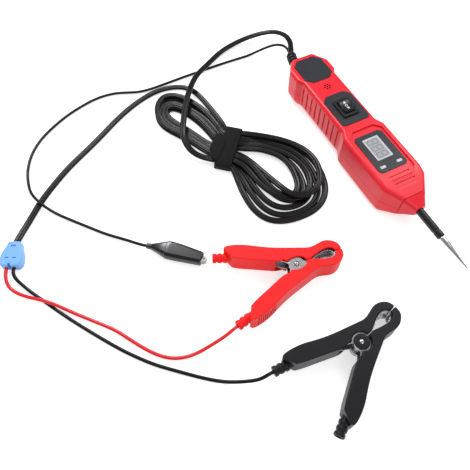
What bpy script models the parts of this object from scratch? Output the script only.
# Automotive circuit tester with its probe, cable set, battery clamps and ground clip.
# Metres, +Z up. +X runs along the tester towards the probe tip, and all of it lies on z = 0.
# The origin is under the middle of the tester, from its strain relief to its probe tip.

import math

import bmesh
import bpy
from mathutils import Matrix, Vector

# Clearances
GAP = 0.0003                 # between pieces that touch
WALL = 0.0022                # wall of the casing
CUT = 0.004                  # how far a cutter runs past what it cuts

# Tester casing, lengths along X from the rear face
REAR_CORNER_LEN = 0.0140     # the two chamfered rear corners of the head
HEAD_LEN = 0.0320            # rear face to the step where the grip begins
GRIP_LEN = 0.0710            # ribbed grip
DISPLAY_LEN = 0.0720         # wide section that holds the display
TAPER_LEN = 0.0150           # front corners, up to the nose seam
NOSE_LEN = 0.0115            # nose cap, past the seam
STEP_LEN = 0.0030            # run of the step from head to grip
FLARE_LEN = 0.0090           # run of the flare from grip to display

# Tester casing, half widths and heights
REAR_HALF_W = 0.0135
HEAD_HALF_W = 0.0225
GRIP_HALF_W = 0.0190
DISPLAY_HALF_W = 0.0232
SEAM_HALF_W = 0.0125
NOSE_HALF_W = 0.0056
CASE_TOP = 0.0360
SEAM_TOP = 0.0320
SEAM_BOTTOM = 0.0080
NOSE_HALF_H = 0.0056
SPLIT_Z = 0.0170             # joint between the two shells
EDGE_R = 0.0040              # rounding of the long upper edges
HEAD_BELLY_R = 0.0120        # rounding of the lower edges, for each section
GRIP_BELLY_R = 0.0110
DISPLAY_BELLY_R = 0.0070
NOSE_BELLY_R = 0.0030

# Sunk floor round the display panel
RAIL_W = 0.0058              # raised rail left on each side of it
FLOOR_DEPTH = 0.0016
FLOOR_START = 0.0060         # past the end of the grip
FLOOR_LEN = 0.0620
FLOOR_CORNER = 0.0060

# Grip ribs and louvres
RIB_COUNT = 9
RIB_W = 0.0038
RIB_DEPTH = 0.0011
RIB_INSET = 0.0045           # from each end of the grip
LOUVRE_COUNT = 4
LOUVRE_PITCH = 0.0042
LOUVRE_W = 0.0012
LOUVRE_HALF_SPAN = 0.0105
LOUVRE_DEPTH = 0.0008
LOUVRE_START = 0.0060        # past the front edge of the panel

# Plates let into the top
PLATE_T = 0.0012
PLATE_PROUD = 0.0004         # how far a plate stands above its pocket's rim
LABEL_REAR = 0.0042
LABEL_LEN = 0.0338
LABEL_HALF_W = 0.0154
LABEL_CORNER = 0.0064
SWITCH_REAR = 0.0600
SWITCH_LEN = 0.0400
SWITCH_HALF_W = 0.0152
SWITCH_CORNER = 0.0060
PANEL_REAR = 0.1160
PANEL_LEN = 0.0440
PANEL_HALF_W = 0.0150
PANEL_CORNER = 0.0028

# Display
WINDOW_REAR = 0.0045         # from the panel's rear edge
WINDOW_HALF_W = 0.0084
MODULE_MARGIN = 0.0012       # display module, past the window on each side
MODULE_H = 0.0065
HEADER_HALF_W = 0.0030
INDICATOR_LEN = 0.0030
INDICATOR_W = 0.0056
INDICATOR_FRONT = 0.0055     # from the panel's front edge to their middle
WINDOW_CLEAR = 0.0065         # from the window's front edge to the indicators
WINDOW_LEN = PANEL_LEN - WINDOW_REAR - WINDOW_CLEAR - INDICATOR_LEN / 2 - INDICATOR_FRONT
INDICATOR_Y = 0.0088

# Buzzer and its grille
BUZZER_X = 0.0480
BUZZER_R = 0.0060
BUZZER_H = 0.0095
GRILLE_HOLE_R = 0.0008
GRILLE_PITCH = 0.0027

# Rocker switch
ROCKER_MID = 0.0205          # from the switch plate's rear edge
ROCKER_AXIS_Z = 0.0350
ROCKER_R = 0.0078            # end faces, round the pivot
ROCKER_HALF_W = 0.0054
ROCKER_TOP = 0.0055          # top of its ends above the pivot
ROCKER_DISH = 0.0010         # how far its middle lies below its ends
ROCKER_BASE = 0.0040         # underside below the pivot
ROCKER_PIN_R = 0.0012
ROCKER_PIN_LEN = 0.0010
ROCKER_CLEAR = 0.0004
HOUSING_WALL = 0.0013
BEZEL_W = 0.0014
BEZEL_H = 0.0016

# Circuit board and what stands on it
BOARD_T = 0.0016
BOARD_Z = 0.0190             # its underside
BOARD_REAR = 0.0080
BOARD_HALF_W = 0.0105
RIB_SEAT_T = 0.0018          # seats under the board
BREAKER_X = 0.0230
BREAKER_LEN = 0.0150
BREAKER_HALF_W = 0.0055
BREAKER_H = 0.0090

# Casing screws and their posts
POST_R = 0.0030
POST_Y = 0.0142
POST_REAR_X = 0.0130
POST_FRONT_X = 0.1690
SCREW_R = 0.0013
SCREW_HEAD_R = 0.0024
SCREW_HEAD_H = 0.0016
SCREW_LEN = 0.0200
SCREW_SEAT = 0.0045          # depth of the screw recess above z = 0

# Probe
PROBE_Z = 0.0222
SLEEVE_R = 0.0036
SLEEVE_LEN = 0.0300          # outside the nose
SLEEVE_INSIDE = 0.0050
TIP_ROOT_R = 0.0028
TIP_END_R = 0.0004
TIP_LEN = 0.0330
ROD_R = 0.0017
SOCKET_R = 0.0045
SOCKET_REAR = 0.0150         # socket, behind and in front of the seam
SOCKET_FRONT = 0.0035
LAMP_Y = 0.0088
LAMP_Z = 0.0205
LAMP_R = 0.0024
LAMP_REAR = 0.0070           # lamp, behind and in front of the seam
LAMP_FRONT = 0.0060

# Strain relief
FLANGE_R = 0.0062
PLUG_R = 0.0046
COLLAR_R = 0.0078
COLLAR_LEN = 0.0090
NECK_R = 0.0056
NECK_LEN = 0.0155
NECK_SWAY = 0.0032           # how far the neck's end is bent towards +Y
NECK_RIBS = 4
NECK_RIB_DEPTH = 0.0009
RELIEF_Z = 0.0178

# Cords
TWIN_W = 0.0062
TWIN_T = 0.0031
LEAD_R = 0.0015
GROUND_R = 0.0014
LAY = 0.0002                 # between a cord and the ground it lies on
STUB = 0.0020                # straight stretch at each end of a cord
END_GAP = 0.0004             # between a cord's end and what it enters
LEAD_SPACING_ALONG = 0.0080
TWIN_SPACING_ALONG = 0.0130

# Battery clamps, lying on their sides with the rivet upright
CLAMP_T = 0.0200
COVER_WALL = 0.0016
STEEL_T = 0.0012
RIVET_R = 0.0022
RIVET_HEAD_R = 0.0036
RIVET_HEAD_H = 0.0012
EAR_R = 0.0066
EAR_CLEAR_R = 0.0076         # round cut in the covers, round the ears
COIL_R = 0.0040
COIL_WIRE_R = 0.0007
COIL_TURNS = 3
CLAMP_BOOT_R = 0.0043
CLAMP_BOOT_LEN = 0.0138
CLAMP_BOOT_RIB = 0.0007
CLAMP_BOOT_BORE = 0.0029
CLAMP_BOOT_BORE_LEN = 0.0110
CLAMP_BOOT_AT = (-0.0500, 0.0277)
CLAMP_BOOT_TURN = math.radians(162)
TOOTH_COUNT = 3              # on each slope of the bite
TOOTH_DEPTH = 0.0007
RED_CLAMP_AT = (0.0767, -0.1203)
RED_CLAMP_TURN = math.radians(82.6)
BLACK_CLAMP_AT = (0.1568, -0.1099)
BLACK_CLAMP_TURN = math.radians(107.0)

# Ground clip, lying on its side
CLIP_AT = (0.0172, -0.2016)
CLIP_TURN = math.radians(47.6)
CLIP_Z = 0.0052
CLIP_BOOT_WALL = 0.0009
CLIP_STEEL_T = 0.0005
CLIP_JAW_HALF_T = 0.0026
CLIP_EAR_R = 0.0030
CLIP_PIN_R = 0.0009
CLIP_COIL_R = 0.0016
CLIP_WIRE_R = 0.0003
CLIP_TAIL = 0.0300           # pivot to the cord end of the boot

# Splitter block
SPLITTER_AT = (-0.0570, -0.3245)
SPLITTER_TURN = math.radians(-27.0)
SPLITTER_LEN = 0.0240
SPLITTER_IN_HALF_W = 0.0052
SPLITTER_OUT_HALF_W = 0.0098
SPLITTER_H = 0.0098
SPLITTER_EDGE = 0.0014
LEAD_SPACING = 0.0064
SPLITTER_CORE_Z = 0.0049

# Hank of main cord and its tie
HANK_H = 0.0100
TIE_AT = (-0.0685, -0.1105)
TIE_TURN = math.radians(-41.0)
TIE_W = 0.0160
TIE_T = 0.0014
TIE_HALF_SPAN = 0.0232
TAB_LEN = 0.0220
TAB_W = 0.0100

# Colours
RED = (0.82, 0.03, 0.05, 1)
CLAMP_RED = (0.90, 0.03, 0.04, 1)
BLACK = (0.02, 0.02, 0.022, 1)
PLATE_GREY = (0.035, 0.037, 0.042, 1)
BLUE = (0.20, 0.50, 0.95, 1)
BOARD_GREEN = (0.02, 0.20, 0.06, 1)
SMOKE = (0.25, 0.25, 0.27, 1)
CLEAR = (0.85, 0.88, 0.90, 1)
STEEL = (0.60, 0.60, 0.60, 1)
BRASS = (0.75, 0.55, 0.20, 1)

# Places that follow from the sizes above
GRIP_END = HEAD_LEN + GRIP_LEN
DISPLAY_END = GRIP_END + DISPLAY_LEN
SEAM = DISPLAY_END + TAPER_LEN
NOSE_END = SEAM + NOSE_LEN
RELIEF_LEN = COLLAR_LEN + NECK_LEN
NECK_SLOPE = 2 * NECK_SWAY / NECK_LEN
NECK_TURN = math.atan(NECK_SLOPE)
RELIEF_REACH = RELIEF_LEN + NECK_R * math.sin(NECK_TURN)
REAR_X = -(NOSE_END + SLEEVE_LEN + GAP + TIP_LEN - RELIEF_REACH) / 2
BOARD_TOP = BOARD_Z + BOARD_T
BOARD_END = SEAM - SOCKET_REAR - GAP
FLOOR_Z = CASE_TOP - FLOOR_DEPTH
PLATE_TOP = CASE_TOP + PLATE_PROUD
PANEL_TOP = FLOOR_Z + PLATE_PROUD

parts = bpy.data.collections.new("automotive_circuit_tester")
cutters = bpy.data.collections.new("cutters_and_guides")


def clear_scene():
    for old in list(bpy.data.objects):
        bpy.data.objects.remove(old, do_unlink=True)
    bpy.context.scene.collection.children.link(parts)
    bpy.context.scene.collection.children.link(cutters)


def material(name, colour, roughness, metallic=0.0):
    made = bpy.data.materials.new(name)
    made.use_nodes = True
    shader = made.node_tree.nodes["Principled BSDF"]
    shader.inputs["Base Color"].default_value = colour
    shader.inputs["Roughness"].default_value = roughness
    shader.inputs["Metallic"].default_value = metallic
    return made


# Building blocks

def show_part(body, name, look, parent=None):
    body.name = name
    body.data.name = name
    parts.objects.link(body)
    body.data.materials.append(look)
    if body.type == "MESH":
        body.data.shade_smooth()
        body.data.set_sharp_from_angle(angle=math.radians(35))
    body.parent = parent
    return body


def hide_cutter(body, name, parent=None):
    body.name = name
    cutters.objects.link(body)
    body.hide_render = True
    body.display_type = "WIRE"
    body.parent = parent
    return body


def from_bmesh(shape, name):
    bmesh.ops.recalc_face_normals(shape, faces=shape.faces)
    mesh = bpy.data.meshes.new(name)
    shape.to_mesh(mesh)
    shape.free()
    return bpy.data.objects.new(name, mesh)


def meshed(drawn, lift=0.0):
    """The mesh of a curve, with its faces pointing out; the curve is removed."""
    bpy.context.scene.collection.objects.link(drawn)
    graph = bpy.context.evaluated_depsgraph_get()
    mesh = bpy.data.meshes.new_from_object(drawn.evaluated_get(graph))
    shape = bmesh.new()
    shape.from_mesh(mesh)
    bmesh.ops.remove_doubles(shape, verts=shape.verts, dist=1e-6)
    bmesh.ops.translate(shape, verts=shape.verts, vec=(0, 0, lift))
    bpy.data.objects.remove(drawn, do_unlink=True)
    bpy.data.meshes.remove(mesh)
    return from_bmesh(shape, "meshed")


def plate(outline, low, high):
    """A flat outline in X and Y, extruded from one height to the other."""
    curve = bpy.data.curves.new("outline", "CURVE")
    curve.dimensions = "2D"
    curve.fill_mode = "BOTH"
    curve.extrude = (high - low) / 2
    add_spline(curve, [(x, y, 0) for x, y in outline], True)
    return meshed(bpy.data.objects.new("outline", curve), (high + low) / 2)


def add_spline(curve, places, closed=False):
    spline = curve.splines.new("POLY")
    spline.points.add(len(places) - 1)
    for point, place in zip(spline.points, places):
        point.co = (*place, 1)
    spline.use_cyclic_u = closed


def tube(name, places, radius, resolution):
    """A round tube through the places, with flat ends."""
    curve = bpy.data.curves.new(name, "CURVE")
    curve.dimensions = "3D"
    curve.twist_mode = "Z_UP"
    curve.bevel_depth = radius
    curve.bevel_resolution = resolution
    curve.use_fill_caps = True
    curve.render_resolution_u = 0
    add_spline(curve, places)
    return bpy.data.objects.new(name, curve)


def loft(rings):
    """A solid through rings that all have the same number of points."""
    shape = bmesh.new()
    rows = [[shape.verts.new(point) for point in ring] for ring in rings]
    count = len(rows[0])
    for first, second in zip(rows, rows[1:]):
        for i in range(count):
            j = (i + 1) % count
            shape.faces.new((first[i], first[j], second[j], second[i]))
    shape.faces.new(rows[0])
    shape.faces.new(rows[-1])
    return from_bmesh(shape, "loft")


def turned(profile, steps=20):
    """A profile of (radius, height) turned round Z, given from the top to the bottom."""
    mesh = bpy.data.meshes.new("turned")
    closed = profile[0] == profile[-1]
    points = [(radius, 0, height) for radius, height in (profile[:-1] if closed else profile)]
    edges = [(i, i + 1) for i in range(len(points) - 1)]
    if closed:
        edges.append((len(points) - 1, 0))
    mesh.from_pydata(points, edges, [])
    body = bpy.data.objects.new("turned", mesh)
    screw = body.modifiers.new("turn", "SCREW")
    screw.steps = steps
    screw.render_steps = steps
    screw.use_merge_vertices = True
    screw.merge_threshold = 1e-5
    return body


def box(low, high):
    shape = bmesh.new()
    bmesh.ops.create_cube(shape, size=1)
    size = Vector(high) - Vector(low)
    middle = (Vector(high) + Vector(low)) / 2
    bmesh.ops.scale(shape, verts=shape.verts, vec=size)
    bmesh.ops.translate(shape, verts=shape.verts, vec=middle)
    return from_bmesh(shape, "box")


def rod(start, end, radius, sides=12):
    """A round bar between two points."""
    start, end = Vector(start), Vector(end)
    turn = Vector((0, 0, 1)).rotation_difference(end - start).to_matrix().to_4x4()
    shape = bmesh.new()
    bmesh.ops.create_cone(shape, cap_ends=True, segments=sides, radius1=radius, radius2=radius,
                          depth=(end - start).length,
                          matrix=Matrix.Translation((start + end) / 2) @ turn)
    return from_bmesh(shape, "rod")


def boolean(body, tool, operation, name, parent=None):
    hide_cutter(tool, name, parent)
    change = body.modifiers.new(name, "BOOLEAN")
    change.operation = operation
    change.solver = "EXACT"
    change.object = tool


def cut(body, tool, name, parent=None):
    boolean(body, tool, "DIFFERENCE", name, parent)


def join(body, tool, name, parent=None):
    boolean(body, tool, "UNION", name, parent)


def gather(bodies):
    """One mesh that holds several separate solids."""
    shape = bmesh.new()
    for body in bodies:
        shape.from_mesh(body.data)
        bpy.data.objects.remove(body, do_unlink=True)
    return from_bmesh(shape, "gathered")


def chamfered(rear, front, half_w, rear_corner, front_corner):
    """A rectangle along X with its corners cut off."""
    right = [(rear, half_w - rear_corner), (rear + rear_corner, half_w),
             (front - front_corner, half_w), (front, half_w - front_corner)]
    return right + [(x, -y) for x, y in reversed(right)]


def mirrored(outline, side):
    return [(x, side * y) for x, y in outline]


# Casing

def case_section(x, half_w, top, bottom, edge_r, belly_r, steps=3):
    """One closed section of the casing, with rounded edges."""
    half = []
    for radius, z, start in ((edge_r, top - edge_r, 90), (belly_r, bottom + belly_r, 0)):
        for i in range(steps):
            angle = math.radians(start - 90 * i / (steps - 1))
            half.append((half_w - radius + radius * math.cos(angle), z + radius * math.sin(angle)))
    ring = half + [(-y, z) for y, z in reversed(half)]
    return [(REAR_X + x, y, z) for y, z in ring]


def case_body(inset):
    """The casing's outer form, or with an inset the hollow inside it."""
    roof = PLATE_T if inset else 0
    edge_r = EDGE_R - inset / 2
    sections = [
        (inset, REAR_HALF_W, CASE_TOP, 0, HEAD_BELLY_R),
        (REAR_CORNER_LEN, HEAD_HALF_W, CASE_TOP, 0, HEAD_BELLY_R),
        (HEAD_LEN - STEP_LEN, HEAD_HALF_W, CASE_TOP, 0, HEAD_BELLY_R),
        (HEAD_LEN, GRIP_HALF_W, CASE_TOP, 0, GRIP_BELLY_R),
        (GRIP_END, GRIP_HALF_W, CASE_TOP - roof, 0, GRIP_BELLY_R),
        (GRIP_END + FLARE_LEN, DISPLAY_HALF_W, CASE_TOP - roof, 0, DISPLAY_BELLY_R),
        (DISPLAY_END - FLARE_LEN, DISPLAY_HALF_W, CASE_TOP - roof, 0, DISPLAY_BELLY_R),
        (DISPLAY_END, DISPLAY_HALF_W - 0.0008, FLOOR_Z, 0, DISPLAY_BELLY_R),
        (SEAM - inset, SEAM_HALF_W, SEAM_TOP, SEAM_BOTTOM, NOSE_BELLY_R),
    ]
    floor_drop = FLOOR_DEPTH if inset else 0
    rings = []
    for x, half_w, top, bottom, belly_r in sections:
        drop = floor_drop if GRIP_END <= x < DISPLAY_END else 0
        rings.append(case_section(x, half_w - inset, top - inset - drop, bottom + inset, edge_r,
                                  belly_r - inset / 2))
    return loft(rings)


def pocket(rear, outline_len, half_w, corner, rim, front_corner):
    """Cutter for a plate's pocket, a clearance wider than the plate."""
    outline = chamfered(REAR_X + rear - GAP, REAR_X + rear + outline_len + GAP, half_w + GAP, corner,
                        front_corner)
    return plate(outline, rim + PLATE_PROUD - PLATE_T - GAP, rim + CUT)


def grip_ribs():
    """Cutters for the upright grooves down both sides of the grip."""
    first = REAR_X + HEAD_LEN + RIB_INSET
    pitch = (GRIP_LEN - 2 * RIB_INSET) / (RIB_COUNT - 1)
    grooves = []
    for i in range(RIB_COUNT):
        x = first + i * pitch
        for side in (-1, 1):
            y = sorted((side * (GRIP_HALF_W - RIB_DEPTH), side * (GRIP_HALF_W + CUT)))
            grooves.append(box((x - RIB_W / 2, y[0], -CUT),
                               (x + RIB_W / 2, y[1], CASE_TOP - EDGE_R)))
    return gather(grooves)


def louvres():
    start = REAR_X + PANEL_REAR + PANEL_LEN + LOUVRE_START
    return gather([box((start + i * LOUVRE_PITCH, -LOUVRE_HALF_SPAN, FLOOR_Z - LOUVRE_DEPTH),
                       (start + i * LOUVRE_PITCH + LOUVRE_W, LOUVRE_HALF_SPAN, CASE_TOP + CUT))
                   for i in range(LOUVRE_COUNT)])


def grille():
    """Cutters for the seven sound holes."""
    middle = REAR_X + BUZZER_X
    places = [(middle, 0)]
    for i in range(6):
        angle = math.radians(60 * i + 30)
        places.append((middle + GRILLE_PITCH * math.cos(angle), GRILLE_PITCH * math.sin(angle)))
    return gather([rod((x, y, CASE_TOP - 2 * WALL), (x, y, CASE_TOP + CUT), GRILLE_HOLE_R, 8)
                   for x, y in places])


def post_places():
    return [(REAR_X + x, side * POST_Y) for x in (POST_REAR_X, POST_FRONT_X) for side in (-1, 1)]


def end_holes():
    """Cutters for the strain relief, the probe socket and the lamp."""
    relief = rod((REAR_X - CUT, 0, RELIEF_Z), (REAR_X + WALL + CUT, 0, RELIEF_Z), PLUG_R + GAP, 16)
    socket = rod((REAR_X + SEAM - WALL - CUT, 0, PROBE_Z), (REAR_X + SEAM + CUT, 0, PROBE_Z),
                 SOCKET_R + GAP, 16)
    return gather([relief, socket, lamp_hole()])


def lamp_hole():
    return rod((REAR_X + SEAM - LAMP_REAR, LAMP_Y, LAMP_Z), (REAR_X + NOSE_END + CUT, LAMP_Y, LAMP_Z),
               LAMP_R + GAP)


def upper_shell(look):
    shell = show_part(case_body(0), "upper_shell", look)
    cut(shell, case_body(WALL), "upper_hollow")
    cut(shell, box((REAR_X - CUT, -0.05, -CUT), (REAR_X + SEAM + CUT, 0.05, SPLIT_Z + GAP / 2)),
        "below_split")
    posts = gather([rod((x, y, SPLIT_Z + GAP / 2), (x, y, FLOOR_Z - WALL / 2), POST_R)
                    for x, y in post_places()])
    join(shell, posts, "upper_posts")
    cut(shell, gather([rod((x, y, SPLIT_Z - CUT), (x, y, SCREW_SEAT + SCREW_LEN + GAP), SCREW_R + GAP)
                       for x, y in post_places()]), "upper_screw_holes")
    floor = chamfered(REAR_X + GRIP_END + FLOOR_START, REAR_X + GRIP_END + FLOOR_START + FLOOR_LEN,
                      DISPLAY_HALF_W - RAIL_W, FLOOR_CORNER, FLOOR_CORNER)
    cut(shell, plate(floor, FLOOR_Z, CASE_TOP + CUT), "display_floor")
    cut(shell, pocket(LABEL_REAR, LABEL_LEN, LABEL_HALF_W, LABEL_CORNER, CASE_TOP, LABEL_CORNER),
        "label_pocket")
    cut(shell, pocket(SWITCH_REAR, SWITCH_LEN, SWITCH_HALF_W, SWITCH_CORNER, CASE_TOP, PANEL_CORNER),
        "switch_pocket")
    cut(shell, pocket(PANEL_REAR, PANEL_LEN, PANEL_HALF_W, PANEL_CORNER, FLOOR_Z, PANEL_CORNER),
        "panel_pocket")
    cut(shell, housing_block(GAP, CASE_TOP - 3 * WALL, CASE_TOP + CUT), "switch_hole")
    cut(shell, module_block(GAP, FLOOR_Z - 3 * WALL, CASE_TOP + CUT), "module_hole")
    cut(shell, indicator_holes(FLOOR_Z - 3 * WALL, CASE_TOP + CUT), "indicator_holes")
    cut(shell, grip_ribs(), "upper_ribs")
    cut(shell, louvres(), "louvre_grooves")
    cut(shell, grille(), "grille_holes")
    cut(shell, end_holes(), "upper_end_holes")


def board_seats():
    """Cross ribs in the lower shell that carry the circuit board."""
    seats = []
    for x in (BOARD_REAR + 0.010, SWITCH_REAR, PANEL_REAR, BOARD_END - 0.010):
        seats.append(box((REAR_X + x, -BOARD_HALF_W, WALL / 2),
                         (REAR_X + x + RIB_SEAT_T, BOARD_HALF_W, BOARD_Z - GAP)))
    return gather(seats)


def lower_shell(look):
    shell = show_part(case_body(0), "lower_shell", look)
    cut(shell, case_body(WALL), "lower_hollow")
    cut(shell, box((REAR_X - CUT, -0.05, SPLIT_Z - GAP / 2), (REAR_X + SEAM + CUT, 0.05, CASE_TOP + CUT)),
        "above_split")
    join(shell, gather([rod((x, y, WALL / 2), (x, y, SPLIT_Z - GAP / 2), SCREW_HEAD_R + WALL / 2)
                        for x, y in post_places()]), "lower_posts")
    join(shell, board_seats(), "board_seats")
    cut(shell, gather([rod((x, y, -CUT), (x, y, SCREW_SEAT + GAP), SCREW_HEAD_R + GAP)
                       for x, y in post_places()]), "screw_recesses")
    cut(shell, gather([rod((x, y, -CUT), (x, y, SPLIT_Z + CUT), SCREW_R + GAP)
                       for x, y in post_places()]), "lower_screw_holes")
    cut(shell, grip_ribs(), "lower_ribs")
    cut(shell, end_holes(), "lower_end_holes")


def casing_screws(look):
    """Four screws, put in from below."""
    for i, (x, y) in enumerate(post_places()):
        screw = turned([(0, SCREW_LEN), (SCREW_R, SCREW_LEN), (SCREW_R, 0), (SCREW_HEAD_R, 0),
                        (SCREW_HEAD_R, -SCREW_HEAD_H), (0, -SCREW_HEAD_H)], 12)
        screw.location = (x, y, SCREW_SEAT)
        show_part(screw, "casing_screw_" + str(i + 1), look)


def nose_ring(x, half_w, top, bottom, inset):
    radius = max(min(half_w, EDGE_R) - inset, GAP)
    return case_section(x, half_w - inset, top - inset, bottom + inset, radius, radius)


def nose_cap(look):
    """Faceted cap that closes the front and holds the probe."""
    top, bottom = PROBE_Z + NOSE_HALF_H, PROBE_Z - NOSE_HALF_H
    cap = show_part(loft([nose_ring(SEAM + GAP, SEAM_HALF_W, SEAM_TOP, SEAM_BOTTOM, 0),
                          nose_ring(SEAM + NOSE_LEN / 3, SEAM_HALF_W * 0.8, SEAM_TOP * 0.96,
                                    SEAM_BOTTOM + 0.003, 0),
                          nose_ring(NOSE_END, NOSE_HALF_W, top, bottom, 0)]), "nose_cap", look)
    cut(cap, loft([nose_ring(SEAM - CUT, SEAM_HALF_W, SEAM_TOP, SEAM_BOTTOM, WALL),
                   nose_ring(SEAM + NOSE_LEN / 3, SEAM_HALF_W * 0.8, SEAM_TOP * 0.96,
                             SEAM_BOTTOM + 0.003, WALL),
                   nose_ring(NOSE_END - WALL, NOSE_HALF_W, top, bottom, WALL)]), "nose_hollow")
    cut(cap, rod((REAR_X + SEAM, 0, PROBE_Z), (REAR_X + NOSE_END + CUT, 0, PROBE_Z), SLEEVE_R + GAP, 20),
        "sleeve_hole")
    cut(cap, lamp_hole(), "nose_lamp_hole")


# Plates, display and switch

def label_plate(look):
    show_part(plate(chamfered(REAR_X + LABEL_REAR, REAR_X + LABEL_REAR + LABEL_LEN, LABEL_HALF_W,
                              LABEL_CORNER, LABEL_CORNER), PLATE_TOP - PLATE_T, PLATE_TOP),
              "label_plate", look)


def switch_plate(look):
    body = show_part(plate(chamfered(REAR_X + SWITCH_REAR, REAR_X + SWITCH_REAR + SWITCH_LEN,
                                     SWITCH_HALF_W, SWITCH_CORNER, PANEL_CORNER),
                           PLATE_TOP - PLATE_T, PLATE_TOP), "switch_plate", look)
    cut(body, housing_block(GAP, PLATE_TOP - CUT, PLATE_TOP + CUT), "plate_switch_hole")


def display_panel(look):
    body = show_part(plate(chamfered(REAR_X + PANEL_REAR, REAR_X + PANEL_REAR + PANEL_LEN, PANEL_HALF_W,
                                     PANEL_CORNER, PANEL_CORNER), PANEL_TOP - PLATE_T, PANEL_TOP),
                     "display_panel", look)
    cut(body, window_block(GAP, PANEL_TOP - CUT, PANEL_TOP + CUT), "panel_window")
    cut(body, indicator_holes(PANEL_TOP - CUT, PANEL_TOP + CUT), "panel_indicators")


def window_block(margin, low, high):
    rear = REAR_X + PANEL_REAR + WINDOW_REAR
    return box((rear - margin, -WINDOW_HALF_W - margin, low),
               (rear + WINDOW_LEN + margin, WINDOW_HALF_W + margin, high))


def module_block(margin, low, high):
    rear = REAR_X + PANEL_REAR + WINDOW_REAR
    grow = MODULE_MARGIN + margin
    return box((rear - grow, -WINDOW_HALF_W - grow, low),
               (rear + WINDOW_LEN + grow, WINDOW_HALF_W + grow, high))


def indicator_block(side, margin, low, high):
    x = REAR_X + PANEL_REAR + PANEL_LEN - INDICATOR_FRONT
    grow_x = INDICATOR_LEN / 2 + margin
    grow_y = INDICATOR_W / 2 + margin
    return box((x - grow_x, side * INDICATOR_Y - grow_y, low),
               (x + grow_x, side * INDICATOR_Y + grow_y, high))


def indicator_holes(low, high):
    return gather([indicator_block(side, GAP, low, high) for side in (-1, 1)])


def display(glass, body_look, lit):
    module_top = PANEL_TOP - PLATE_T - GAP
    show_part(window_block(0, module_top + GAP, PANEL_TOP), "display_window", glass)
    module = show_part(module_block(0, module_top - MODULE_H, module_top), "display_module", body_look)
    rear = REAR_X + PANEL_REAR + WINDOW_REAR
    join(module, box((rear, -HEADER_HALF_W, BOARD_TOP + GAP),
                     (rear + WINDOW_LEN, HEADER_HALF_W, module_top - MODULE_H / 2)), "module_header")
    for name, side in (("near_indicator", -1), ("far_indicator", 1)):
        show_part(indicator_block(side, 0, BOARD_TOP + GAP, PANEL_TOP), name, lit)


def housing_block(margin, low, high):
    middle = REAR_X + SWITCH_REAR + ROCKER_MID
    half_len = ROCKER_R + ROCKER_CLEAR + HOUSING_WALL + margin
    half_w = ROCKER_HALF_W + ROCKER_CLEAR + HOUSING_WALL + margin
    return box((middle - half_len, -half_w, low), (middle + half_len, half_w, high))


def switch_housing(look):
    """Tub that the rocker turns in, with a raised bezel on the plate."""
    middle = REAR_X + SWITCH_REAR + ROCKER_MID
    top = PLATE_TOP + GAP + BEZEL_H
    body = show_part(housing_block(0, BOARD_TOP + GAP, top), "switch_housing", look)
    join(body, housing_block(BEZEL_W, PLATE_TOP + GAP, top), "bezel")
    cut(body, housing_block(-HOUSING_WALL, BOARD_TOP + GAP + HOUSING_WALL, top + CUT), "rocker_well")
    reach = ROCKER_HALF_W + ROCKER_CLEAR + HOUSING_WALL + CUT
    cut(body, rod((middle, -reach, ROCKER_AXIS_Z), (middle, reach, ROCKER_AXIS_Z), ROCKER_PIN_R + GAP),
        "pivot_holes")


def rocker(look):
    """Rocker with round ends, dished top and two pivot pins; its origin is on the pivot."""
    ends = [math.radians(angle) for angle in (39, 22, 5, -12)]
    right = [(ROCKER_R * math.cos(angle), ROCKER_R * math.sin(angle)) for angle in ends]
    right[0] = (right[0][0], ROCKER_TOP)
    outline = [(0, ROCKER_TOP - ROCKER_DISH), (right[0][0] / 2, ROCKER_TOP - ROCKER_DISH * 0.7)] + right
    outline += [(ROCKER_R / 2, -ROCKER_BASE), (-ROCKER_R / 2, -ROCKER_BASE)]
    outline += [(-x, z) for x, z in reversed(right)]
    outline += [(-right[0][0] / 2, ROCKER_TOP - ROCKER_DISH * 0.7)]
    middle = REAR_X + SWITCH_REAR + ROCKER_MID
    ring = [[(x, y, z) for x, z in outline] for y in (-ROCKER_HALF_W, ROCKER_HALF_W)]
    body = show_part(loft(ring), "rocker", look)
    body.location = (middle, 0, ROCKER_AXIS_Z)
    reach = ROCKER_HALF_W + ROCKER_CLEAR + ROCKER_PIN_LEN
    join(body, rod((0, -reach, 0), (0, reach, 0), ROCKER_PIN_R), "rocker_pins", body)


# Inside the casing

def circuit_board(look):
    show_part(box((REAR_X + BOARD_REAR, -BOARD_HALF_W, BOARD_Z),
                  (REAR_X + BOARD_END, BOARD_HALF_W, BOARD_TOP)), "circuit_board", look)


def buzzer(look):
    body = turned([(0, BUZZER_H), (BUZZER_R, BUZZER_H), (BUZZER_R, 0), (0, 0)])
    body.location = (REAR_X + BUZZER_X, 0, BOARD_TOP + GAP)
    show_part(body, "buzzer", look)


def circuit_breaker(look):
    x = REAR_X + BREAKER_X
    show_part(box((x, -BREAKER_HALF_W, BOARD_TOP + GAP),
                  (x + BREAKER_LEN, BREAKER_HALF_W, BOARD_TOP + GAP + BREAKER_H)), "circuit_breaker", look)


# Probe and strain relief

def along_x(body, x, y, z):
    """Turns a piece made round Z so that its top points to +X."""
    body.rotation_euler = (0, math.pi / 2, 0)
    body.location = (x, y, z)
    return body


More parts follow.
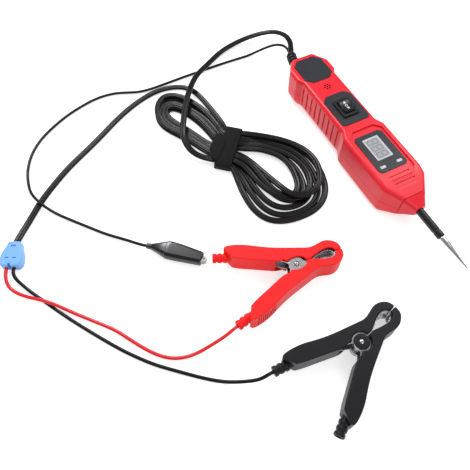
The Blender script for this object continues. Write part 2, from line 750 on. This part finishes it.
def probe(sleeve_look, tip_look, socket_look, lamp_look):
    nose = REAR_X + NOSE_END
    inner = ROD_R + GAP
    sleeve = turned([(inner, SLEEVE_LEN), (SLEEVE_R - GAP, SLEEVE_LEN), (SLEEVE_R, SLEEVE_LEN - 0.001),
                     (SLEEVE_R, -SLEEVE_INSIDE), (inner, -SLEEVE_INSIDE), (inner, SLEEVE_LEN)])
    show_part(along_x(sleeve, nose, 0, PROBE_Z), "probe_sleeve", sleeve_look)
    root = SLEEVE_LEN + GAP
    tail = -(NOSE_LEN + SOCKET_REAR / 2)
    tip = turned([(0, root + TIP_LEN), (TIP_END_R, root + TIP_LEN), (TIP_ROOT_R, root + TIP_LEN / 4),
                  (TIP_ROOT_R, root), (ROD_R, root), (ROD_R, tail), (0, tail)])
    show_part(along_x(tip, nose, 0, PROBE_Z), "probe_tip", tip_look)
    socket = turned([(0, tail + NOSE_LEN - GAP), (inner, tail + NOSE_LEN - GAP), (inner, SOCKET_FRONT),
                     (SOCKET_R, SOCKET_FRONT), (SOCKET_R, -SOCKET_REAR), (0, -SOCKET_REAR)])
    show_part(along_x(socket, REAR_X + SEAM, 0, PROBE_Z), "probe_socket", socket_look)
    lamp = turned([(0, LAMP_FRONT), (LAMP_R * 0.6, LAMP_FRONT - LAMP_R * 0.2),
                   (LAMP_R, LAMP_FRONT - LAMP_R), (LAMP_R, GAP - LAMP_REAR), (0, GAP - LAMP_REAR)], 12)
    show_part(along_x(lamp, REAR_X + SEAM, LAMP_Y, LAMP_Z), "work_lamp", lamp_look)


def relief_spine(distance):
    """Centre and heading of the strain relief, measured back from the rear face."""
    bend = max(distance - COLLAR_LEN, 0) / NECK_LEN
    centre = Vector((REAR_X - distance, NECK_SWAY * bend * bend, RELIEF_Z))
    return centre, math.atan(NECK_SLOPE * bend)


def strain_relief(look):
    """Moulded boot: a flange inside the wall, a collar, and a ribbed neck bent to one side."""
    profile = [(-WALL - 0.0020, FLANGE_R), (-WALL - GAP, FLANGE_R), (-WALL - GAP, PLUG_R),
               (GAP, PLUG_R), (GAP, COLLAR_R), (COLLAR_LEN - 0.0012, COLLAR_R),
               (COLLAR_LEN, COLLAR_R - 0.0012)]
    pitch = NECK_LEN / NECK_RIBS
    for i in range(NECK_RIBS):
        start = COLLAR_LEN + i * pitch
        for share, radius in ((0.05, NECK_R - NECK_RIB_DEPTH), (0.40, NECK_R - NECK_RIB_DEPTH),
                              (0.45, NECK_R), (1.00, NECK_R)):
            profile.append((start + share * pitch, radius))
    rings = []
    for distance, radius in profile:
        centre, heading = relief_spine(distance)
        across = Vector((math.sin(heading), math.cos(heading), 0))
        up = Vector((0, 0, 1))
        rings.append([centre + radius * (math.cos(a) * across + math.sin(a) * up)
                      for a in (math.radians(360 * i / 16) for i in range(16))])
    show_part(loft(rings), "strain_relief", look)


# Cords

def smooth_route(points, spacing, floor):
    """Evenly spaced points on a smooth curve through the route's own points, none below the floor."""
    points = [Vector(point) for point in points]
    padded = [2 * points[0] - points[1]] + points + [2 * points[-1] - points[-2]]
    fine = []
    for a, b, c, d in zip(padded, padded[1:], padded[2:], padded[3:]):
        for i in range(12):
            t = i / 12
            fine.append(0.5 * (2 * b + (c - a) * t + (2 * a - 5 * b + 4 * c - d) * t ** 2
                               + (3 * b - a - 3 * c + d) * t ** 3))
    fine.append(points[-1])
    for place in fine:
        place.z = max(place.z, floor)
    length = sum((q - p).length for p, q in zip(fine, fine[1:]))
    count = max(round(length / spacing), 2)
    even, walked, target = [], 0.0, length / count
    for p, q in zip(fine, fine[1:]):
        step = (q - p).length
        while len(even) < count - 1 and walked + step >= target * (len(even) + 1):
            even.append(p.lerp(q, (target * (len(even) + 1) - walked) / step))
        walked += step
    first = points[0] + STUB * (points[1] - points[0]).normalized()
    last = points[-1] + STUB * (points[-2] - points[-1]).normalized()
    return [points[0], first] + even + [last, points[-1]]


def lead(name, points, radius, look):
    """A round cord along a route."""
    route = smooth_route(points, LEAD_SPACING_ALONG, radius + LAY)
    show_part(tube(name, route, radius, 2), name, look)


def twin_cord(name, points, look):
    """The flat main cord along a route."""
    curve = bpy.data.curves.new(name, "CURVE")
    curve.dimensions = "3D"
    curve.twist_mode = "Z_UP"
    curve.use_fill_caps = True
    curve.render_resolution_u = 0
    curve.bevel_mode = "OBJECT"
    curve.bevel_object = bpy.data.objects["twin_profile"]
    add_spline(curve, smooth_route(points, TWIN_SPACING_ALONG, TWIN_T / 2 + LAY))
    show_part(meshed(bpy.data.objects.new(name, curve)), name, look)


def twin_profile():
    """Flat oval section of the main cord."""
    curve = bpy.data.curves.new("twin_profile", "CURVE")
    curve.dimensions = "2D"
    corner = TWIN_T / 2
    outline = []
    for side in (1, -1):
        for i in range(5):
            angle = math.radians(-90 + 45 * i)
            outline.append((side * (TWIN_W / 2 - corner + corner * math.cos(angle)),
                            side * corner * math.sin(angle), 0))
    add_spline(curve, outline, True)
    hide_cutter(bpy.data.objects.new("twin_profile", curve), "twin_profile")


def placed(frame, x, y, z):
    """A point given in a turned frame (origin x and y, turn), in world coordinates."""
    (at_x, at_y), turn = frame
    return (at_x + x * math.cos(turn) - y * math.sin(turn),
            at_y + x * math.sin(turn) + y * math.cos(turn), z)


SPLITTER_FRAME = (SPLITTER_AT, SPLITTER_TURN)
CLIP_FRAME = (CLIP_AT, CLIP_TURN)
TIE_FRAME = (TIE_AT, TIE_TURN)


def boot_mouth(at, turn, side, past):
    """A point on the axis of a clamp's cord boot, measured out from the boot's end."""
    reach = CLAMP_BOOT_LEN + past
    x = CLAMP_BOOT_AT[0] + reach * math.cos(CLAMP_BOOT_TURN)
    y = CLAMP_BOOT_AT[1] + reach * math.sin(CLAMP_BOOT_TURN)
    return placed((at, turn), x, side * y, CLAMP_T / 2)


def cords(black, red):
    twin_profile()
    neck_end, heading = relief_spine(RELIEF_LEN)
    out = Vector((-math.cos(heading), math.sin(heading), 0))
    side = Vector((math.sin(heading), math.cos(heading), 0))
    twin_from = neck_end + END_GAP * out + Vector((0, 0, 0.0018))
    ground_from = neck_end + END_GAP * out - 0.0010 * side + Vector((0, 0, -0.0026))
    lay = TWIN_T / 2 + LAY
    main_rear = [twin_from, twin_from + 0.006 * out, (-0.1590, 0.0116, 0.0190), (-0.1700, 0.0146, 0.0180),
                 (-0.1800, 0.0143, 0.0162), (-0.1900, 0.0105, 0.0135), (-0.1970, 0.0040, 0.0108),
                 (-0.2018, -0.0060, 0.0080), (-0.2045, -0.0190, 0.0058), (-0.2043, -0.0350, 0.0040),
                 (-0.1988, -0.0550, 0.0040), (-0.1835, -0.0808, 0.0054), (-0.1705, -0.0985, 0.0090),
                 (-0.1500, -0.1160, 0.0122), (-0.1270, -0.1310, 0.0124), (-0.1060, -0.1425, 0.0126),
                 (-0.0950, -0.1470, 0.0126), (-0.0840, -0.1480, 0.0085), (-0.0730, -0.1445, 0.0060),
                 (-0.0610, -0.1365, 0.0055)]
    twin_cord("main_cord_rear", main_rear, black)
    main_front = [(-0.1000, -0.0958, 0.0060), (-0.1110, -0.0955, 0.0040), (-0.1240, -0.0953, lay),
                  (-0.1400, -0.0972, lay), (-0.1585, -0.1020, lay), (-0.1690, -0.1115, lay),
                  (-0.1752, -0.1260, lay), (-0.1768, -0.1415, lay), (-0.1735, -0.1588, lay),
                  (-0.1667, -0.1771, lay), (-0.1512, -0.2048, lay), (-0.1330, -0.2325, lay),
                  (-0.1205, -0.2520, lay), (-0.1090, -0.2720, lay), (-0.0985, -0.2870, lay),
                  (-0.0880, -0.2985, lay), (-0.0765, -0.3090, lay), (-0.0675, -0.3172, 0.0030),
                  placed(SPLITTER_FRAME, -0.0040, 0, SPLITTER_CORE_Z - 0.0003),
                  placed(SPLITTER_FRAME, -END_GAP, 0, SPLITTER_CORE_Z)]
    twin_cord("main_cord_front", main_front, black)
    low = GROUND_R + LAY
    ground = [ground_from, ground_from + 0.006 * out, (-0.1600, 0.0080, 0.0132), (-0.1690, 0.0078, 0.0112),
              (-0.1760, 0.0020, 0.0090), (-0.1800, -0.0100, 0.0055), (-0.1818, -0.0300, low),
              (-0.1829, -0.0540, low), (-0.1832, -0.0800, low), (-0.1834, -0.1060, low),
              (-0.1829, -0.1300, low), (-0.1828, -0.1470, low), (-0.1845, -0.1600, low),
              (-0.1890, -0.1710, low), (-0.1934, -0.1815, low), (-0.1957, -0.1940, low),
              (-0.1948, -0.2100, low), (-0.1880, -0.2345, low), (-0.1785, -0.2545, low),
              (-0.1670, -0.2720, low), (-0.1520, -0.2858, low), (-0.1330, -0.2952, low),
              (-0.1127, -0.2989, 0.0026), (-0.1010, -0.2980, 0.0052), (-0.0925, -0.2955, 0.0056),
              (-0.0840, -0.2912, 0.0034), (-0.0732, -0.2840, low), (-0.0599, -0.2737, low),
              (-0.0489, -0.2647, low), (-0.0335, -0.2520, low), (-0.0197, -0.2389, 0.0025),
              placed(CLIP_FRAME, -CLIP_TAIL - 0.0060, 0, CLIP_Z - 0.0006),
              placed(CLIP_FRAME, -CLIP_TAIL - END_GAP, 0, CLIP_Z)]
    lead("ground_lead", ground, GROUND_R, black)
    low = LEAD_R + LAY
    leave = SPLITTER_LEN + END_GAP
    red_lead = [placed(SPLITTER_FRAME, leave, -LEAD_SPACING / 2, SPLITTER_CORE_Z),
                placed(SPLITTER_FRAME, leave + 0.006, -LEAD_SPACING / 2, 0.0047),
                (-0.0209, -0.3420, 0.0030), (-0.0123, -0.3375, 0.0026), (-0.0044, -0.3310, 0.0036),
                (0.0025, -0.3235, 0.0052), (0.0094, -0.3156, 0.0052), (0.0180, -0.3075, 0.0030),
                (0.0272, -0.2996, low), (0.0400, -0.2885, low), (0.0554, -0.2754, low),
                (0.0690, -0.2670, low), (0.0830, -0.2580, low), (0.0935, -0.2490, low),
                (0.1000, -0.2390, low), (0.1028, -0.2270, low), (0.1030, -0.2150, 0.0035),
                boot_mouth(RED_CLAMP_AT, RED_CLAMP_TURN, -1, 0.0120)[:2] + (0.0080,),
                boot_mouth(RED_CLAMP_AT, RED_CLAMP_TURN, -1, 0.0040),
                boot_mouth(RED_CLAMP_AT, RED_CLAMP_TURN, -1, END_GAP)]
    lead("red_lead", red_lead, LEAD_R, red)
    black_lead = [placed(SPLITTER_FRAME, leave, LEAD_SPACING / 2, SPLITTER_CORE_Z),
                  placed(SPLITTER_FRAME, leave + 0.006, LEAD_SPACING / 2, 0.0047),
                  (-0.0158, -0.3304, 0.0022), (-0.0052, -0.3251, low), (0.0031, -0.3202, low),
                  (0.0208, -0.3103, low), (0.0390, -0.2992, low), (0.0642, -0.2827, low),
                  (0.0800, -0.2712, low), (0.0960, -0.2575, low), (0.1100, -0.2425, low),
                  (0.1220, -0.2290, low), (0.1310, -0.2175, 0.0020), (0.1375, -0.2070, 0.0042),
                  boot_mouth(BLACK_CLAMP_AT, BLACK_CLAMP_TURN, 1, 0.0120)[:2] + (0.0078,),
                  boot_mouth(BLACK_CLAMP_AT, BLACK_CLAMP_TURN, 1, 0.0040),
                  boot_mouth(BLACK_CLAMP_AT, BLACK_CLAMP_TURN, 1, END_GAP)]
    lead("black_lead", black_lead, LEAD_R, black)


def hank(cord_look, tie_look):
    """The wound middle of the main cord, as one solid, and the strap round its waist."""
    outline = [(-0.1660, -0.1370), (-0.1600, -0.1255), (-0.1490, -0.1165), (-0.1330, -0.1085),
               (-0.1160, -0.1045), (-0.0980, -0.1020), (-0.0880, -0.0970), (-0.0790, -0.0850),
               (-0.0706, -0.0708), (-0.0561, -0.0548), (-0.0400, -0.0432), (-0.0217, -0.0388),
               (-0.0020, -0.0400), (0.0140, -0.0445), (0.0250, -0.0530), (0.0325, -0.0660),
               (0.0345, -0.0807), (0.0335, -0.0960), (0.0290, -0.1110), (0.0190, -0.1205),
               (0.0020, -0.1250), (-0.0200, -0.1250), (-0.0425, -0.1243), (-0.0540, -0.1270),
               (-0.0650, -0.1300), (-0.0808, -0.1345), (-0.0960, -0.1410), (-0.1086, -0.1490),
               (-0.1235, -0.1583), (-0.1376, -0.1600), (-0.1520, -0.1530)]
    body = show_part(plate(outline, 0.0001, HANK_H), "cord_hank", cord_look)
    half_w = TIE_W / 2
    reach = TIE_HALF_SPAN + TIE_T
    low, high = TIE_T + GAP + 0.0001, HANK_H - GAP
    waist = bpy.data.objects.new("tie_place", None)
    hide_cutter(waist, "tie_place")
    waist.location = (*TIE_AT, 0)
    waist.rotation_euler = (0, 0, TIE_TURN)
    cut(body, box((-reach - 2 * CUT, -half_w - GAP, -CUT), (reach + 2 * CUT, half_w + GAP, HANK_H + CUT)),
        "tie_room", waist)
    join(body, box((-TIE_HALF_SPAN, -half_w - CUT, low), (TIE_HALF_SPAN, half_w + CUT, high)),
         "hank_waist", waist)
    tie = show_part(box((-reach, -half_w, 0.0001), (reach, half_w, high + GAP + TIE_T)), "cable_tie",
                    tie_look, waist)
    cut(tie, box((-TIE_HALF_SPAN - GAP, -half_w - CUT, low - GAP),
                 (TIE_HALF_SPAN + GAP, half_w + CUT, high + GAP)), "tie_loop", waist)
    tab = [(-0.0060, -half_w + 0.001), (TAB_LEN - TAB_W / 2 - 0.006, -half_w + 0.001)]
    for i in range(7):
        angle = math.radians(90 - 30 * i)
        tab.append((TAB_LEN - TAB_W / 2 - 0.006 + TAB_W / 2 * math.cos(angle),
                    -half_w - TAB_W / 2 + TAB_W / 2 * math.sin(angle)))
    tab.append((-0.0060, -half_w - TAB_W))
    join(tie, plate(tab, HANK_H + GAP, HANK_H + GAP + TIE_T), "tie_tab", waist)


def splitter(look):
    """Moulded block where the main cord parts into the two leads."""
    half = [(0, SPLITTER_IN_HALF_W), (0.0045, SPLITTER_IN_HALF_W + 0.0012),
            (0.0100, SPLITTER_OUT_HALF_W - 0.0012), (0.0180, SPLITTER_OUT_HALF_W),
            (SPLITTER_LEN - 0.0025, SPLITTER_OUT_HALF_W - 0.0008),
            (SPLITTER_LEN, SPLITTER_OUT_HALF_W - 0.0028)]
    outline = half + [(x, -y) for x, y in reversed(half)]
    body = plate(outline, 0.0001, SPLITTER_H)
    show_part(body, "splitter_block", look)
    body.location = (*SPLITTER_AT, 0)
    body.rotation_euler = (0, 0, SPLITTER_TURN)
    edges = body.modifiers.new("rounded_edges", "BEVEL")
    edges.width = SPLITTER_EDGE
    edges.segments = 2
    edges.limit_method = "ANGLE"
    edges.angle_limit = math.radians(60)


# Battery clamps

COVER_OUTER = [(0.0410, 0.00025), (0.0407, 0.0042), (0.0385, 0.0080), (0.0335, 0.0112), (0.0285, 0.0120),
               (0.0230, 0.0110), (0.0180, 0.0102), (0.0139, 0.0106), (0.0074, 0.0128), (-0.0007, 0.0156),
               (-0.0088, 0.0185), (-0.0164, 0.0215), (-0.0250, 0.0256), (-0.0310, 0.0288),
               (-0.0370, 0.0315), (-0.0445, 0.0338), (-0.0505, 0.0346), (-0.0530, 0.0330)]
COVER_INNER = [(-0.0486, 0.0226), (-0.0425, 0.0192), (-0.0320, 0.0145), (-0.0210, 0.0095),
               (-0.0145, 0.0068), (-0.0085, 0.0062)]
JAW_MOUTH = [(0.0125, 0.00025), (0.0170, 0.0019), (0.0235, 0.0039), (0.0280, 0.0046), (0.0315, 0.0043),
             (0.0340, 0.0028), (0.0352, 0.00025)]


def lowered(outline, drop):
    return [(x, y - drop) for x, y in outline]


def cover_outline():
    notch = [(EAR_CLEAR_R * math.cos(a), EAR_CLEAR_R * math.sin(a))
             for a in (math.radians(angle) for angle in (138, 111, 84, 57, 30, 2))]
    return COVER_OUTER + COVER_INNER + notch + JAW_MOUTH


def cover_hollow():
    wall = COVER_WALL * 1.15
    roof = [(x - (wall if x > 0.038 else 0), y - wall) for x, y in COVER_OUTER[1:-2]]
    floor = [(-0.0470, 0.0245), (-0.0425, 0.0212), (-0.0320, 0.0165), (-0.0210, 0.0115),
             (-0.0170, 0.0092), (-0.0130, 0.0040), (-0.0090, -0.0010)]
    return [(0.0410 - wall, -0.0010)] + roof + floor


def clamp_boot(bore_r):
    """Ribbed end of a clamp handle, made along X from its root, and its bore."""
    rings = []
    ribs = 3
    pitch = CLAMP_BOOT_LEN / ribs
    profile = [(-0.0020, CLAMP_BOOT_R - CLAMP_BOOT_RIB)]
    for i in range(ribs):
        start = i * pitch
        profile += [(start + 0.40 * pitch, CLAMP_BOOT_R - CLAMP_BOOT_RIB),
                    (start + 0.45 * pitch, CLAMP_BOOT_R), (start + 0.98 * pitch, CLAMP_BOOT_R)]
        if i < ribs - 1:
            profile.append((start + 1.03 * pitch, CLAMP_BOOT_R - CLAMP_BOOT_RIB))
    profile[-1] = (CLAMP_BOOT_LEN, CLAMP_BOOT_R)
    for x, radius in profile:
        rings.append([(x, radius * math.cos(a), radius * math.sin(a))
                      for a in (math.radians(30 * i) for i in range(12))])
    bore = rod((CLAMP_BOOT_LEN - CLAMP_BOOT_BORE_LEN, 0, 0), (CLAMP_BOOT_LEN + CUT, 0, 0), bore_r)
    return loft(rings), bore


def at_boot(body, side):
    body.location = (CLAMP_BOOT_AT[0], side * CLAMP_BOOT_AT[1], CLAMP_T / 2)
    body.rotation_euler = (0, 0, side * CLAMP_BOOT_TURN)
    return body


def clamp_cover(name, side, with_lead, look, pivot):
    """Moulded cover of one half: jaw, box-section handle and ribbed boot."""
    cover = show_part(plate(mirrored(cover_outline(), side), 0, CLAMP_T), name, look, pivot)
    cut(cover, plate(mirrored(cover_hollow(), side), COVER_WALL, CLAMP_T - COVER_WALL), name + "_hollow",
        pivot)
    boot, bore = clamp_boot(CLAMP_BOOT_BORE if not with_lead else LEAD_R - GAP)
    join(cover, at_boot(boot, side), name + "_boot", pivot)
    if not with_lead:
        cut(cover, at_boot(bore, side), name + "_bore", pivot)
    else:
        bpy.data.objects.remove(bore, do_unlink=True)


def arm_outline(inset):
    """Steel arm of one half: jaw with teeth, ear round the rivet, and the part in the handle."""
    roof = [(x - (inset if x > 0.038 else 0), y - inset) for x, y in COVER_OUTER[1:-4]]
    handle = [(-0.0345, 0.0192), (-0.0240, 0.0146), (-0.0150, 0.0100)]
    ear = [(EAR_R * math.cos(a), EAR_R * math.sin(a))
           for a in (math.radians(145 + 35 * i) for i in range(7))]
    bite = [(0.0090, GAP / 2), (0.0125, GAP / 2), (0.0170, 0.0012)]
    lip = [(0.0215, 0.0027), (0.0280, 0.0038), (0.0338, 0.0021)]
    for start, end in zip(lip, lip[1:]):
        for i in range(TOOTH_COUNT):
            for share, lift in ((0.0, TOOTH_DEPTH), (0.5, 0.0)):
                t = (i + share) / TOOTH_COUNT
                bite.append((start[0] + t * (end[0] - start[0]), start[1] + t * (end[1] - start[1]) + lift))
    bite += [(0.0350, GAP / 2), (0.0410 - inset - GAP, GAP / 2)]
    return roof + handle + ear + bite


def arm_channel(inset):
    """What is taken out between the two side plates of an arm."""
    deep = inset + STEEL_T * 1.15
    roof = [(x - (deep if x > 0.038 else 0), y - deep) for x, y in COVER_OUTER[1:-4]]
    roof[-1] = (roof[-1][0] - 0.006, roof[-1][1] + 0.0025)
    return [(0.0410 - deep - GAP, -0.012)] + roof + [(-0.0450, 0.0170), (-0.0150, -0.012)]


def clamp_arm(name, side, low, look, pivot):
    inset = COVER_WALL * 1.15 + GAP
    arm = show_part(plate(mirrored(arm_outline(inset), side), low, CLAMP_T - low), name, look, pivot)
    cut(arm, plate(mirrored(arm_channel(inset), side), low + STEEL_T, CLAMP_T - low - STEEL_T),
        name + "_channel", pivot)
    cut(arm, rod((0, 0, -CUT), (0, 0, CLAMP_T + CUT), RIVET_R + GAP, 16), name + "_hole", pivot)


def clamp_rivet(name, look, pivot):
    face = COVER_WALL
    top = CLAMP_T - face
    head = RIVET_HEAD_H
    profile = [(0, top + head), (RIVET_HEAD_R * 0.6, top + head), (RIVET_HEAD_R, top + head * 0.4),
               (RIVET_HEAD_R, top), (RIVET_R, top), (RIVET_R, face), (RIVET_HEAD_R, face),
               (RIVET_HEAD_R, face - head * 0.4), (RIVET_HEAD_R * 0.6, face - head), (0, face - head)]
    show_part(turned(profile, 16), name, look, pivot)


def clamp_spring(name, fixed_side, look, pivot):
    """Torsion spring round the rivet, with a leg along each handle."""
    inner = COVER_WALL + GAP + 2 * STEEL_T + GAP
    low, high = inner + COIL_WIRE_R + GAP, CLAMP_T - inner - COIL_WIRE_R - GAP
    leg_x, leg_y = -0.0165, 0.0163
    points = [Vector((leg_x, fixed_side * leg_y, low))]
    steps = COIL_TURNS * 10 + 4
    for i in range(steps + 1):
        angle = math.radians(70 + 360 * i / 10)
        height = low + (high - low) * i / steps
        points.append(Vector((COIL_R * math.cos(angle), fixed_side * COIL_R * math.sin(angle), height)))
    points.append(Vector((leg_x, -fixed_side * leg_y, high)))
    show_part(tube(name, points, COIL_WIRE_R, 1), name, look, pivot)


def battery_clamp(colour, at, turn, fixed_side, cover_look, steel_look, spring_look):
    """Two halves on one rivet; the lead enters the fixed half."""
    pivot = bpy.data.objects.new(colour + "_clamp_pivot", None)
    parts.objects.link(pivot)
    pivot.location = (*at, 0)
    pivot.rotation_euler = (0, 0, turn)
    clamp_cover(colour + "_clamp_fixed_cover", fixed_side, True, cover_look, pivot)
    clamp_cover(colour + "_clamp_moving_cover", -fixed_side, False, cover_look, pivot)
    outer = COVER_WALL + GAP
    clamp_arm(colour + "_clamp_fixed_arm", fixed_side, outer, steel_look, pivot)
    clamp_arm(colour + "_clamp_moving_arm", -fixed_side, outer + STEEL_T + GAP, steel_look, pivot)
    clamp_rivet(colour + "_clamp_rivet", spring_look, pivot)
    clamp_spring(colour + "_clamp_spring", fixed_side, spring_look, pivot)


# Ground clip

CLIP_BOOT = [(-0.0300, 0.0024, 0.0024), (-0.0245, 0.0029, 0.0028), (-0.0150, 0.0060, 0.0044),
             (-0.0050, 0.0084, 0.0050), (0.0060, 0.0074, 0.0049), (0.0205, 0.0058, 0.0044)]


def clip_ring(x, half_w, half_t):
    """Rounded section of the clip's boot, in the clip's own frame."""
    ring = []
    for i in range(12):
        angle = math.radians(30 * i + 15)
        c, s = math.cos(angle), math.sin(angle)
        stretch = 1 / (abs(c) ** 3 + abs(s) ** 3) ** (1 / 3)
        ring.append((x, half_w * stretch * c, CLIP_Z + half_t * stretch * s))
    return ring


def clip_boot(look, pivot):
    wall = CLIP_BOOT_WALL
    boot = show_part(loft([clip_ring(*station) for station in CLIP_BOOT]), "clip_boot", look, pivot)
    inner = [clip_ring(x, y - wall, t - wall) for x, y, t in CLIP_BOOT[1:]]
    inner.append(clip_ring(CLIP_BOOT[-1][0] + CUT, CLIP_BOOT[-1][1] - wall, CLIP_BOOT[-1][2] - wall))
    cut(boot, loft(inner), "clip_hollow", pivot)


def clip_jaw_outline(side):
    roof = [(0.0250, 0.0009), (0.0244, 0.0022), (0.0205, 0.0036), (0.0060, 0.0053), (-0.0050, 0.0062),
            (-0.0150, 0.0036)]
    tail = [(-0.0150, 0.0028), (-0.0050, 0.0050)]
    ear = [(CLIP_EAR_R * math.cos(a), CLIP_EAR_R * math.sin(a))
           for a in (math.radians(140 + 40 * i) for i in range(6))]
    bite = [(0.0120, 0.0024)]
    for i in range(4):
        x = 0.0140 + 0.0025 * i
        bite += [(x, GAP / 2), (x + 0.0012, 0.0008)]
    bite += [(0.0238, GAP / 2), (0.0250, GAP / 2)]
    return mirrored(roof + tail + ear + bite, side)


def clip_jaw(name, side, half_t, look, pivot):
    """Stamped jaw: a web along its back and two side plates with ears."""
    low, high = CLIP_Z - half_t, CLIP_Z + half_t
    jaw = show_part(plate(clip_jaw_outline(side), low, high), name, look, pivot)
    web = CLIP_STEEL_T
    room = [(0.0255 - web, -0.0040), (0.0255 - web, 0.0001), (0.0240, 0.0022 - web), (0.0205, 0.0036 - web),
            (0.0060, 0.0053 - web), (-0.0050, 0.0062 - web), (-0.0170, 0.0036 - web), (-0.0170, -0.0040)]
    cut(jaw, plate(mirrored(room, side), low + web, high - web), name + "_channel", pivot)
    cut(jaw, rod((0, 0, low - CUT), (0, 0, high + CUT), CLIP_PIN_R + GAP), name + "_hole", pivot)


def ground_clip(boot_look, steel_look):
    pivot = bpy.data.objects.new("ground_clip_pivot", None)
    parts.objects.link(pivot)
    pivot.location = (*CLIP_AT, 0)
    pivot.rotation_euler = (0, 0, CLIP_TURN)
    clip_boot(boot_look, pivot)
    clip_jaw("clip_fixed_jaw", -1, CLIP_JAW_HALF_T, steel_look, pivot)
    clip_jaw("clip_moving_jaw", 1, CLIP_JAW_HALF_T - CLIP_STEEL_T - GAP, steel_look, pivot)
    reach = CLIP_JAW_HALF_T + GAP
    head = CLIP_PIN_R * 1.8
    pin = turned([(0, reach + 0.0004), (head, reach + 0.0004), (head, reach), (CLIP_PIN_R, reach),
                  (CLIP_PIN_R, -reach), (head, -reach), (head, -reach - 0.0004), (0, -reach - 0.0004)], 12)
    pin.location = (0, 0, CLIP_Z)
    show_part(pin, "clip_pin", steel_look, pivot)
    coil = []
    steps = 12
    room = CLIP_JAW_HALF_T - 2 * CLIP_STEEL_T - 2 * GAP - CLIP_WIRE_R - GAP / 3
    for i in range(steps + 1):
        angle = math.radians(100 + 360 * i / 8)
        coil.append((CLIP_COIL_R * math.cos(angle), CLIP_COIL_R * math.sin(angle),
                     CLIP_Z - room + 2 * room * i / steps))
    route = [(-0.0080, 0.0044, CLIP_Z - room)] + coil + [(-0.0080, -0.0044, CLIP_Z + room)]
    show_part(tube("clip_spring", route, CLIP_WIRE_R, 1), "clip_spring", steel_look, pivot)


def build():
    clear_scene()
    red = material("red_plastic", RED, 0.42)
    black = material("black_plastic", BLACK, 0.45)
    grey = material("grey_plate", PLATE_GREY, 0.40)
    steel = material("plated_steel", STEEL, 0.25, 1.0)
    brass = material("brass", BRASS, 0.30, 1.0)
    clear = material("clear_lens", CLEAR, 0.08)
    upper_shell(red)
    lower_shell(red)
    nose_cap(red)
    casing_screws(steel)
    label_plate(grey)
    switch_plate(grey)
    display_panel(grey)
    display(material("smoked_window", SMOKE, 0.10), black, clear)
    switch_housing(black)
    rocker(black)
    circuit_board(material("board", BOARD_GREEN, 0.50))
    buzzer(black)
    circuit_breaker(black)
    probe(black, steel, brass, clear)
    strain_relief(black)
    cord_black = material("black_cord", BLACK, 0.35)
    cords(cord_black, material("red_cord", CLAMP_RED, 0.35))
    hank(cord_black, material("tie_fabric", BLACK, 0.90))
    splitter(material("blue_plastic", BLUE, 0.40))
    clamp_red = material("clamp_red_plastic", CLAMP_RED, 0.35)
    battery_clamp("red", RED_CLAMP_AT, RED_CLAMP_TURN, -1, clamp_red, steel, steel)
    battery_clamp("black", BLACK_CLAMP_AT, BLACK_CLAMP_TURN, 1, black, steel, steel)
    ground_clip(material("boot_vinyl", BLACK, 0.20), steel)


build()
